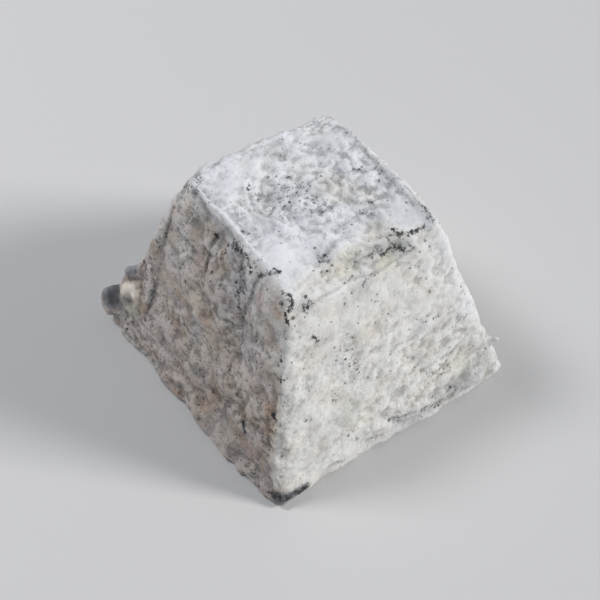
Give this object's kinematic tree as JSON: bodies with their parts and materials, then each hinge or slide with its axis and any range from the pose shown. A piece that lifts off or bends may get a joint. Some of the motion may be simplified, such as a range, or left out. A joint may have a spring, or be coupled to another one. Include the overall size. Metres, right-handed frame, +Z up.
{
  "type": "truncated pyramid goat cheese",
  "caption": "Goat cheese in the form of a square pyramid with its top cut off, in a dry, wrinkled white rind dusted with dark ash; it stands on its flat underside.",
  "frame": {"origin": "the middle of the flat underside", "axes": "+Z points up out of the cheese; the front face looks along -Y and the left face along -X, and X and Y run along the sides of the base"},
  "size_m": [0.077, 0.0774, 0.0569],
  "materials": {
    "rind": "dry, matt, wrinkled white mould rind over a thin dusting of ash"
  },
  "bodies": {
    "root": {"cheese": "rind"}
  },
  "joints": []
}
